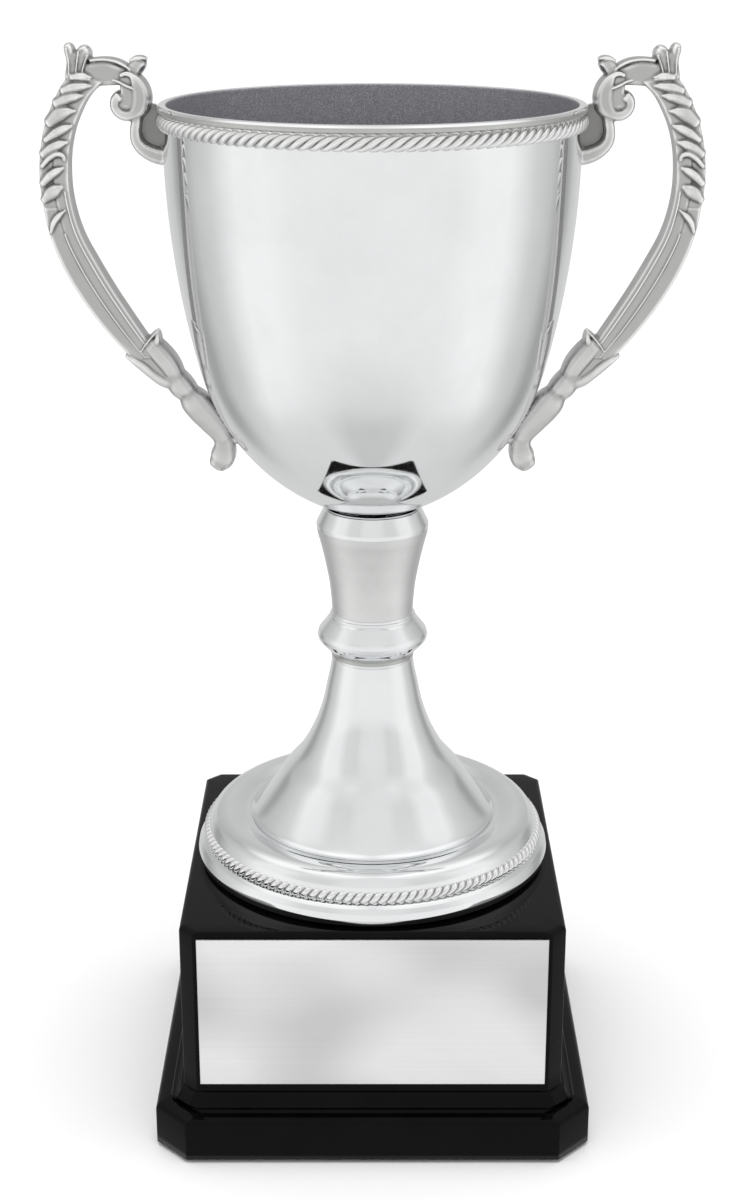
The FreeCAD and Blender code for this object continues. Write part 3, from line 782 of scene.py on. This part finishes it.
# outer edge and inner edge of the arm, from the top down
armEdges = [
    (69.3, 257.6, 62.0, 255.2), (71.6, 254.6, 64.6, 252.9), (74.1, 250.1, 66.6, 250.0),
    (76.2, 244.5, 68.9, 245.0), (77.4, 238.0, 70.3, 239.0), (77.6, 232.5, 70.6, 232.5),
    (77.0, 226.9, 70.0, 227.0), (75.6, 219.6, 68.2, 220.6), (72.4, 211.4, 64.6, 213.4),
    (69.2, 205.7, 61.1, 207.2), (65.7, 200.5, 57.5, 201.4), (62.0, 195.8, 54.3, 196.4),
    (57.7, 191.0, 51.0, 191.5),
]

# bands of the arm: from and to as shares of its width, from and to as shares of its length, depth, boxiness
armBands = [
    (0.02, 0.98, 0.0, 1.0, 5.4, 8), (0.0, 0.50, 0.0, 0.50, 6.6, 6), (0.0, 0.49, 0.48, 1.0, 7.0, 8),
    (0.46, 1.0, 0.0, 1.0, 7.0, 8), (0.46, 0.53, 0.56, 1.0, 7.8, 3), (0.79, 0.87, 0.42, 1.0, 7.8, 3),
]

# overlapping leaves on the outer side of the arm, from the top down: (x, height, width) from tip to edge
leaves = [
    [(64.6, 256.3, 1.5), (66.4, 256.8, 1.9), (69.0, 256.7, 1.6)],
    [(64.5, 254.7, 0.8), (66.2, 254.7, 1.8), (68.6, 254.3, 2.1), (71.2, 253.5, 1.6)],
    [(66.4, 252.6, 0.8), (68.0, 252.4, 1.9), (70.2, 251.8, 2.2), (72.9, 250.6, 1.9)],
    [(68.3, 249.1, 0.8), (70.1, 249.0, 2.2), (72.2, 248.2, 2.9), (74.7, 246.2, 2.2)],
    [(69.2, 245.8, 0.8), (70.8, 245.3, 1.9), (73.0, 244.2, 2.1), (75.7, 242.4, 1.4)],
    [(70.4, 242.1, 0.8), (72.1, 241.7, 2.0), (74.2, 240.7, 2.2), (76.5, 239.1, 1.8)],
    [(71.4, 237.8, 1.1), (71.7, 239.0, 1.3), (73.1, 239.4, 1.4), (74.7, 238.6, 1.4), (76.8, 236.4, 1.1)],
    [(71.7, 236.2, 0.9), (73.1, 235.6, 1.8), (74.9, 234.4, 2.0), (76.9, 232.4, 1.6)],
    [(72.2, 231.9, 1.2), (73.6, 231.2, 2.6), (75.2, 230.1, 2.7), (76.8, 228.6, 1.6)],
    [(71.8, 226.4, 0.5), (73.2, 225.3, 1.4), (74.6, 223.5, 1.5), (75.4, 221.2, 0.9)],
]

# strips of the casting: (x, height, width, depth) along each, and how boxy the cross section is
handleStrips = {
    "rearHorn": ([
        (67.3, 256.8, 2.6, 7.0), (67.0, 258.8, 2.7, 7.0), (66.4, 260.6, 3.3, 6.8),
        (66.1, 261.8, 3.5, 6.4), (66.4, 262.6, 2.8, 5.4)
    ], 3.0),
    "frontHorn": ([
        (69.2, 256.8, 1.9, 7.0), (69.1, 259.2, 2.0, 7.0), (69.2, 261.2, 2.2, 6.6),
        (69.5, 262.6, 2.4, 6.0), (69.8, 263.4, 2.0, 4.8)
    ], 3.0),
    "hornFluteRear": ([(66.6, 257.2, 0.9, 7.9), (65.9, 259.4, 1.0, 8.0), (65.1, 261.4, 1.0, 7.4)], 2.2),
    "hornFluteMiddle": ([(67.9, 257.2, 0.9, 7.9), (67.5, 259.8, 1.0, 8.0), (67.2, 262.2, 1.0, 7.0)], 2.2),
    "hornFluteFront": ([(69.4, 257.2, 1.0, 7.9), (69.4, 260.0, 1.1, 7.8), (70.0, 262.9, 1.1, 6.4)], 2.2),
    "bridgeWeb": ([
        (67.6, 256.6, 4.4, 6.6), (64.6, 257.1, 5.4, 6.4), (61.2, 257.4, 5.6, 6.2),
        (58.2, 256.9, 4.4, 6.0), (55.6, 256.4, 3.0, 5.6)
    ], 6.0),
    "bridgeRim": ([
        (64.6, 260.3, 0.9, 7.2), (61.4, 260.5, 0.9, 7.2), (58.8, 260.1, 0.9, 7.2),
        (56.8, 259.2, 0.9, 7.0), (55.4, 258.2, 0.8, 6.6)
    ], 3.0),
    "innerHorn": ([
        (55.6, 256.8, 3.6, 6.4), (54.8, 258.0, 3.6, 6.2), (54.0, 259.0, 3.6, 6.0),
        (53.5, 259.8, 3.4, 5.6), (53.3, 260.2, 3.0, 5.0)
    ], 3.6),
    "innerHornTop": ([
        (52.0, 260.5, 0.8, 4.6), (53.2, 260.7, 1.2, 5.6), (54.4, 260.6, 1.2, 5.6),
        (55.6, 260.1, 0.8, 4.8)
    ], 3.0),
    "scroll": ([
        (57.7, 257.0, 1.2, 7.8), (56.6, 257.4, 1.4, 7.8), (55.2, 257.0, 1.7, 7.8),
        (54.2, 255.6, 3.2, 7.8), (53.5, 253.6, 4.4, 7.8), (53.4, 251.2, 4.8, 7.8),
        (54.2, 249.2, 4.2, 7.8), (55.7, 248.1, 2.9, 7.8), (57.7, 248.2, 2.7, 7.8),
        (59.1, 249.6, 2.6, 7.8), (59.1, 251.4, 2.7, 8.0), (58.3, 252.2, 2.9, 8.0)
    ], 3.6),
    "scrollWeb": ([(56.7, 250.1, 4.8, 6.8), (56.4, 252.6, 3.4, 6.8), (56.4, 256.4, 3.4, 6.4)], 6.0),
    "lowerLip": ([
        (54.6, 254.0, 1.1, 7.7), (56.4, 254.7, 1.2, 7.8), (58.2, 255.6, 1.1, 7.4),
        (59.6, 256.0, 0.8, 6.4)
    ], 2.6),
    "bracket": ([
        (54.2, 248.4, 2.4, 7.2), (54.6, 246.4, 2.5, 7.4), (54.9, 244.3, 2.6, 7.4),
        (54.6, 242.2, 2.9, 7.4), (53.2, 240.4, 3.3, 7.4), (50.9, 239.1, 3.8, 7.2),
        (48.6, 238.4, 3.9, 6.8)
    ], 4.0),
    "bracketWeb": ([(51.0, 248.6, 5.6, 2.0), (50.6, 245.0, 6.6, 2.0), (50.0, 241.6, 5.6, 2.0)], 6.0),
    "crownWeb": ([(68.2, 256.6, 4.8, 7.2), (68.0, 258.8, 4.4, 7.0), (67.8, 261.0, 4.2, 6.4)], 5.0),
    "spike": ([
        (52.2, 194.0, 3.4, 8.0), (51.6, 195.4, 2.3, 7.2), (51.4, 196.6, 1.3, 6.0),
        (51.5, 197.5, 0.5, 4.2)
    ], 2.6),
    "leafEdge": ([
        (51.7, 197.2, 0.6, 5.6), (53.0, 196.0, 0.8, 7.8), (54.4, 194.3, 0.9, 8.6),
        (55.3, 192.9, 0.8, 8.2)
    ], 2.4),
    "upperLeaf": ([
        (53.1, 194.1, 5.0, 8.0), (51.1, 191.9, 5.5, 8.6), (49.2, 189.6, 5.4, 8.8),
        (48.0, 187.6, 5.0, 8.4), (47.3, 186.3, 4.4, 7.6)
    ], 2.6),
    "lowerLeaf": ([
        (58.9, 191.6, 1.4, 7.0), (57.2, 190.7, 2.4, 8.4), (55.0, 189.1, 3.0, 8.8),
        (52.6, 187.0, 3.0, 8.6), (50.2, 185.4, 3.4, 8.2), (48.4, 184.9, 3.6, 7.6)
    ], 2.6),
    "calyxCore": ([(55.4, 191.6, 5.4, 6.4), (53.0, 189.2, 5.6, 6.6), (50.6, 187.0, 5.4, 6.6)], 5.0),
    "upperBulge": ([
        (48.4, 186.0, 5.2, 7.4), (47.2, 185.1, 6.0, 8.6), (46.1, 183.8, 6.2, 9.0),
        (45.1, 182.7, 5.8, 8.6), (44.5, 181.8, 5.2, 7.4)
    ], 2.4),
    "lowerBulge": ([
        (44.8, 182.2, 5.0, 7.2), (43.5, 180.5, 6.8, 8.8), (41.5, 178.1, 7.2, 9.0),
        (39.3, 175.4, 6.6, 8.4), (37.3, 172.8, 5.8, 7.4), (36.2, 170.8, 5.0, 6.8)
    ], 2.4),
    "leafEnd": ([
        (36.6, 171.4, 4.4, 6.2), (36.1, 169.2, 5.2, 6.8), (36.3, 167.2, 6.0, 7.6),
        (37.0, 165.6, 6.0, 7.6), (37.8, 164.5, 4.8, 6.6)
    ], 3.4),
    "heel": ([(38.0, 167.0, 1.8, 6.6), (38.8, 165.4, 1.5, 6.2), (39.4, 164.2, 0.8, 5.2)], 2.6),
    "toe": ([
        (35.6, 171.0, 1.8, 5.0), (34.0, 170.7, 1.6, 4.8), (32.6, 169.9, 1.3, 4.0),
        (31.4, 169.0, 0.7, 3.0)
    ], 2.4),
}


# one closed tube with a boxy cross section; across is given for each station, or square to the path
def stripMesh(stations, power, verts, faces, across=None, sides=28, ends=4):
    count = len(stations)
    path = np.array([s[:2] for s in stations])
    run = np.gradient(path, axis=0)
    run /= np.linalg.norm(run, axis=1)[:, None]
    side = np.stack([run[:, 1], -run[:, 0]], axis=1) if across is None else across
    rings = []
    for i in range(count):
        rings.append((path[i], side[i], stations[i][2] / 2, stations[i][3] / 2))
    capLow = []
    capHigh = []
    for k in range(1, ends + 1):
        turn = math.pi / 2 * k / (ends + 0.6)
        for cap, at, sign in ((capLow, 0, -1), (capHigh, count - 1, 1)):
            wide = stations[at][2] / 2
            deep = stations[at][3] / 2
            reach = wide * 0.7 * math.sin(turn)
            shrink = math.cos(turn)
            cap.append((path[at] + run[at] * sign * reach, side[at], wide * shrink, deep * shrink))
    rings = list(reversed(capLow)) + rings + capHigh
    start = len(verts)
    for centre, way, wide, deep in rings:
        for k in range(sides):
            angle = fullTurn * k / sides
            c = math.copysign(abs(math.cos(angle)) ** (2 / power), math.cos(angle))
            s = math.copysign(abs(math.sin(angle)) ** (2 / power), math.sin(angle))
            spot = centre + way * wide * c
            verts.append((spot[0] * mm, deep * s * mm, spot[1] * mm))
    for i in range(len(rings) - 1):
        a = start + i * sides
        for k in range(sides):
            j = (k + 1) % sides
            faces.append((a + k, a + j, a + sides + j, a + sides + k))
    faces.append(tuple(start + k for k in reversed(range(sides))))
    last = start + (len(rings) - 1) * sides
    faces.append(tuple(last + k for k in range(sides)))


# a band along the arm, between two shares of its width
def armBand(verts, faces, low, high, first, last, depth, power):
    samples = 90
    edges = smoothThrough(armEdges, samples)
    edges = edges[int(first * (samples - 1)):int(last * (samples - 1)) + 1]
    outer = edges[:, :2]
    inner = edges[:, 2:]
    a = outer + (inner - outer) * low
    b = outer + (inner - outer) * high
    width = np.linalg.norm(b - a, axis=1)
    across = (a - b) / width[:, None]
    stations = [(*((p + q) / 2), w, depth) for p, q, w in zip(a, b, width)]
    stripMesh(stations, power, verts, faces, across)


# outside radius of the cup at a height, read from the finished bowl
def bowlRadiusAt(bowl):
    points = meshValues(bowl.data, "co")
    radii = np.linalg.norm(points[:, :2], axis=1)
    heights = np.linspace(points[:, 2].min(), points[:, 2].max(), 300)
    near = (heights[1] - heights[0]) * 3
    widest = [radii[abs(points[:, 2] - height) < near].max(initial=0) for height in heights]
    return heights, widest


# one casting of all the strips melted together, as a mesh
def meltStrips(shape):
    verts = []
    faces = []
    for band in armBands:
        armBand(verts, faces, *band)
    for leaf in leaves:
        depths = np.interp(np.linspace(0, 1, len(leaf)), (0, 0.4, 0.8, 1), shape["leafDepths"])
        line = [(x, z, width * shape["leafFullness"], depth) for (x, z, width), depth in zip(leaf, depths)]
        stripMesh([tuple(s) for s in smoothThrough(line, 24)], 2.6, verts, faces)
    for line, power in handleStrips.values():
        stripMesh([tuple(s) for s in smoothThrough(line, 10 * len(line))], power, verts, faces)
    rough = finishMesh("handleRough", verts, faces, castPewter)
    remesh = rough.modifiers.new("oneSkin", "REMESH")
    remesh.mode = "VOXEL"
    remesh.voxel_size = shape["voxel"] * mm
    soften = rough.modifiers.new("soften", "SMOOTH")
    soften.factor = 0.5
    soften.iterations = shape["soften"]
    state = bpy.context.evaluated_depsgraph_get()
    skin = bpy.data.meshes.new_from_object(rough.evaluated_get(state))
    bpy.data.objects.remove(rough)
    return skin


# softens the leaf cup, and keeps the casting outside the cup and inside its node's box
def fitHandle(skin, shape, bowl):
    points = meshValues(skin, "co")
    even = evenedOut(skin, points, (shape["calyxSoften"],))[0]
    share = ((shape["calyxTop"] * mm - points[:, 2]) / (shape["calyxFade"] * mm)).clip(0, 1)[:, None]
    points = points * (1 - share) + even * share
    heights, widest = bowlRadiusAt(bowl)
    reach = np.interp(points[:, 2], heights, widest, left=0, right=0) + shape["clearance"] * mm
    distance = np.linalg.norm(points[:, :2], axis=1)
    points[:, :2] *= np.where(distance < reach, reach / distance, 1)[:, None]
    limit = shape["depthLimit"] * mm
    points[:, 1] = points[:, 1].clip(-limit, limit)
    low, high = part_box("right_handle")
    points = np.minimum(np.maximum(points, np.array(low)), np.array(high))
    skin.vertices.foreach_set("co", points.ravel())
    skin.update()


# painted shade in hollows and on the recessed webs and painted highlights on ridges, softened and painted
# brighter low down
def handleMask(skin, shape):
    points = meshValues(skin, "co")
    flat = abs(meshValues(skin, "normal")[:, 1]) > 0.7
    recess = ((shape["recessDepth"] * mm - abs(points[:, 1])) / (0.5 * mm)).clip(0, 1)
    shadeEase = ((shape["shadeEaseTop"] * mm - points[:, 2]) / (shape["shadeEaseFade"] * mm)).clip(0, 1)
    mask = hollowMask(skin)
    mask -= shadeEase * ((mask - 0.5) * shape["shadeEaseEven"] + shape["shadeEaseShift"])
    return np.maximum(mask, recess * flat * shape["recessShade"])


def makeHandles(shape, bowl):
    skin = meltStrips(shape)
    fitHandle(skin, shape, bowl)
    mask = handleMask(skin, shape)
    sides = (("handleRight", "right_handle", False), ("handleLeft", "left_handle", True))
    for name, node, mirrored in sides:
        mesh = skin.copy()
        if mirrored:
            mesh.transform(Matrix.Diagonal((-1, 1, 1, 1)))
            mesh.flip_normals()
        mesh.materials.clear()
        mesh.materials.append(castPewter)
        mesh.shade_smooth()
        piece = bpy.data.objects.new(name, mesh)
        bpy.context.scene.collection.objects.link(piece)
        storeMask(piece, "hollow", mask)
        place(piece, "cast_pewter", node)


makeHandles(handleShape, bowl)
print("handles made")


# plinth and plate

plinthShape = {
    "slabCut": 8.0,            # cut corners of the slab and of the block
    "blockCut": 3.5,
    "slabTop": 12.1,
    "cutFade": 1.2,            # height over which one cut turns into the other
    "boreCut": 1.9,
    # half width and height, from the bottom up outside and from the top down inside
    "outside": [(54.0, 1.0), (54.0, 3.0), (54.0, 10.4), (53.8, 11.0), (53.4, 11.5), (52.9, 11.75),
                (51.6, 12.0), (50.5, 12.1), (50.2, 12.35), (50.0, 12.7), (49.3, 12.8), (48.9, 13.3),
                (48.3, 14.2), (47.8, 15.2), (47.65, 15.7), (47.5, 16.1), (47.1, 16.25), (47.0, 16.5),
                (47.0, 20.0), (47.0, 55.0), (47.0, 58.9), (46.9, 59.4), (46.6, 59.75), (46.1, 59.95),
                (45.6, 60.0), (42.0, 60.0)],
    "inside": [(rodBore, 60.0), (rodBore, 57.0), (44.0, 57.0), (44.0, 4.0), (49.2, 4.0), (49.2, 1.0)],
}


def makePlinth(shape):
    rings = []
    for half, z in shape["outside"]:
        share = min(1, max(0, (z - shape["slabTop"]) / shape["cutFade"]))
        cut = shape["slabCut"] + (shape["blockCut"] - shape["slabCut"]) * share
        rings.append(octagonRing(half, cut, z, 0.7))
    for half, z in shape["inside"]:
        rings.append(octagonRing(half, shape["boreCut"] if half == rodBore else shape["blockCut"], z, 0.5))
    rings.append(rings[0])
    plinth = loftRings("plinthBlock", rings, blackGloss, False, False)
    weld = plinth.modifiers.new("weld", "WELD")
    weld.merge_threshold = 0.00001
    plinth.data.set_sharp_from_angle(angle=math.radians(32))
    place(plinth, "black_gloss", "plinth_shell")


def makePlate():
    low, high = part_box("engraving_plate")
    soft = 0.22 * mm  # rounding of the edges
    rings = []
    for inset, y in ((soft, high[1]), (0, high[1] - soft), (0, low[1] + soft), (soft, low[1])):
        corners = [(low[0] + inset, low[2] + inset), (high[0] - inset, low[2] + inset),
                   (high[0] - inset, high[2] - inset), (low[0] + inset, high[2] - inset)]
        rings.append([(x, y, z) for x, z in corners])
    plate = loftRings("frontPlate", rings, brushedPlate)
    plate.data.set_sharp_from_angle(angle=math.radians(20))
    place(plate, "brushed_plate", "engraving_plate")


makePlinth(plinthShape)
makePlate()
print("plinth and plate made")


# nodes of the frame that keep their shape

keptFinishes = {
    "base_felt": blackFelt, "base_board": hardboard, "ballast_weight": ballastIron,
    "base_board_screws": zincSteel, "plate_adhesive": foamPad, "tie_rod": zincSteel,
    "plinth_washer": zincSteel, "plinth_nut": zincSteel, "bowl_washer": zincSteel,
    "bowl_cap_nut": zincSteel, "handle_screws": zincSteel, "handle_washers": zincSteel,
}
for node, finish in keptFinishes.items():
    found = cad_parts[node]
    for piece in found if isinstance(found, list) else [found]:
        if not piece.material_slots:
            piece.data.materials.append(finish)
        for slot in piece.material_slots:
            slot.material = finish
print("kept nodes finished")


# studio

studio = {
    "floor": 0.93,
    "halfWidth": 3.5,
    "frontDistance": 3.0,
    "backDistance": 1.5,
    "backHeight": 2.4,
    "bend": 0.6,
    "topLight": 20.0,
    "keyLight": 1.2,
}


# pale floor that sweeps up into a back wall
def makeFloor(look):
    material, tree, shader = newMaterial("studioFloor", Roughness=0.9, Specular_IOR_Level=0.1)
    clouds = noise(tree, objectPlace(tree), 3.0, 3.0)
    colour = ramp(tree, clouds, [(0.3, grey(look["floor"] * 0.985)), (0.7, grey(look["floor"]))])
    tree.links.new(colour, shader.inputs["Base Color"])
    back = look["backDistance"]
    bend = look["bend"]
    steps = 24
    path = [(-look["frontDistance"], 0.0), (back - bend, 0.0)]
    for k in range(1, steps + 1):
        turn = math.pi / 2 * k / steps
        path.append((back - bend + bend * math.sin(turn), bend - bend * math.cos(turn)))
    path.append((back, look["backHeight"]))
    verts = [(x, y, z) for y, z in path for x in (-look["halfWidth"], look["halfWidth"])]
    faces = [(2 * i, 2 * i + 1, 2 * i + 3, 2 * i + 2) for i in range(len(path) - 1)]
    floor = finishMesh("studioFloor", verts, faces, material)
    floor.visible_glossy = False  # the metal mirrors the tent instead, as over a sweep of paper


# pale tent all round: brightness by angle from the front, in three bands one above the other and a plain
# top, with soft lamps (angle from the front, angle above the floor, reach, gain) at both sides
tentBands = {
    "below": [(0, 0.62), (22, 0.63), (45, 0.76), (90, 0.74), (120, 0.70), (180, 0.68)],
    "low": [(0, 0.91), (44, 0.91), (62, 0.98), (80, 0.98), (88, 0.88), (100, 0.70), (114, 0.60), (127, 0.40),
            (134, 0.40), (144, 0.62), (156, 0.68), (180, 0.66)],
    "raised": [(0, 0.84), (20, 0.82), (30, 0.74), (50, 0.76), (64, 0.92), (86, 0.95), (98, 0.74),
               (114, 0.62), (135, 0.50), (180, 0.62)],
    "top": 0.82,
    # where each band turns into the next, as the direction's height from -1 straight down to 1 straight up
    "joins": [(-0.86, -0.50), (0.10, 0.26), (0.60, 0.80)],
    "lamps": [(50, 68, 17, 0.15), (46, 80, 16, 0.14), (112, 62, 26, 0.26)],
}


def smoothStep(tree, value, start, end, gain=1.0):
    settings = {"interpolation_type": "SMOOTHSTEP"}
    node = addNode(tree, "ShaderNodeMapRange", settings, i0=value, i1=start, i2=end, i3=0.0, i4=gain)
    return node.outputs["Result"]


def makeTent(look):
    world = bpy.data.worlds.new("paleTent")
    bpy.context.scene.world = world
    world.use_nodes = True
    tree = world.node_tree
    shader = tree.nodes["Background"]
    way = addNode(tree, "ShaderNodeTexCoord").outputs["Generated"]
    parts = addNode(tree, "ShaderNodeSeparateXYZ", Vector=way)
    up = parts.outputs["Z"]
    aside = calculated(tree, "ABSOLUTE", parts.outputs["X"])
    ahead = calculated(tree, "MULTIPLY", parts.outputs["Y"], -1.0)
    share = calculated(tree, "DIVIDE", calculated(tree, "ARCTAN2", aside, ahead), math.pi)
    layers = []
    for key in ("below", "low", "raised"):
        layers.append(ramp(tree, share, [(at / 180, grey(bright)) for at, bright in look[key]]))
    layers.append((*grey(look["top"]), 1))
    total = layers[0]
    for layer, (start, end) in zip(layers[1:], look["joins"]):
        total = mixed(tree, total, layer, smoothStep(tree, up, start, end))
    folded = addNode(tree, "ShaderNodeCombineXYZ", X=aside, Y=parts.outputs["Y"], Z=up).outputs["Vector"]
    for around, raised, reach, gain in look["lamps"]:
        a = math.radians(around)
        e = math.radians(raised)
        middle = (math.sin(a) * math.cos(e), -math.cos(a) * math.cos(e), math.sin(e))
        facing = addNode(tree, "ShaderNodeVectorMath", {"operation": "DOT_PRODUCT"}, i0=folded, i1=middle)
        edge = math.cos(math.radians(reach))
        core = math.cos(math.radians(reach * 0.2))
        glow = smoothStep(tree, facing.outputs["Value"], edge, core, gain)
        total = mixed(tree, total, (*grey(1.0), 1), glow, "ADD")
    tree.links.new(total, shader.inputs["Color"])
    shader.inputs["Strength"].default_value = 1.0


def softLight(name, spot, aim, width, height, power):
    lamp = bpy.data.lights.new(name, "AREA")
    lamp.shape = "RECTANGLE"
    lamp.size = width
    lamp.size_y = height
    lamp.energy = power
    holder = bpy.data.objects.new(name, lamp)
    holder.location = spot
    holder.rotation_euler = (Vector(aim) - Vector(spot)).to_track_quat("-Z", "Y").to_euler()
    holder.visible_glossy = False  # the metal mirrors the tent's soft lamps instead
    bpy.context.scene.collection.objects.link(holder)


makeFloor(studio)
makeTent(tentBands)
softLight("topSoftbox", (0.0, -0.2, 2.2), (0.0, 0.0, 0.0), 1.6, 1.2, studio["topLight"])
softLight("frontSoftbox", (-0.5, -1.6, 1.3), (0.0, 0.0, 0.15), 0.5, 0.7, studio["keyLight"])
print("studio made")


# camera

view = {"spot": (0.0, -0.480, 0.2973), "down": 19.36, "lens": 60.71, "sensor": 36.0}
lens = bpy.data.cameras.new("frontCamera")
lens.lens = view["lens"]
lens.sensor_width = view["sensor"]
lens.sensor_height = view["sensor"]
lens.sensor_fit = "AUTO"
lens.clip_start = 0.01
camera = bpy.data.objects.new("frontCamera", lens)
camera.location = view["spot"]
camera.rotation_euler = (math.radians(90 - view["down"]), 0, 0)
bpy.context.scene.collection.objects.link(camera)
bpy.context.scene.camera = camera
bpy.context.scene.view_settings.view_transform = "Standard"
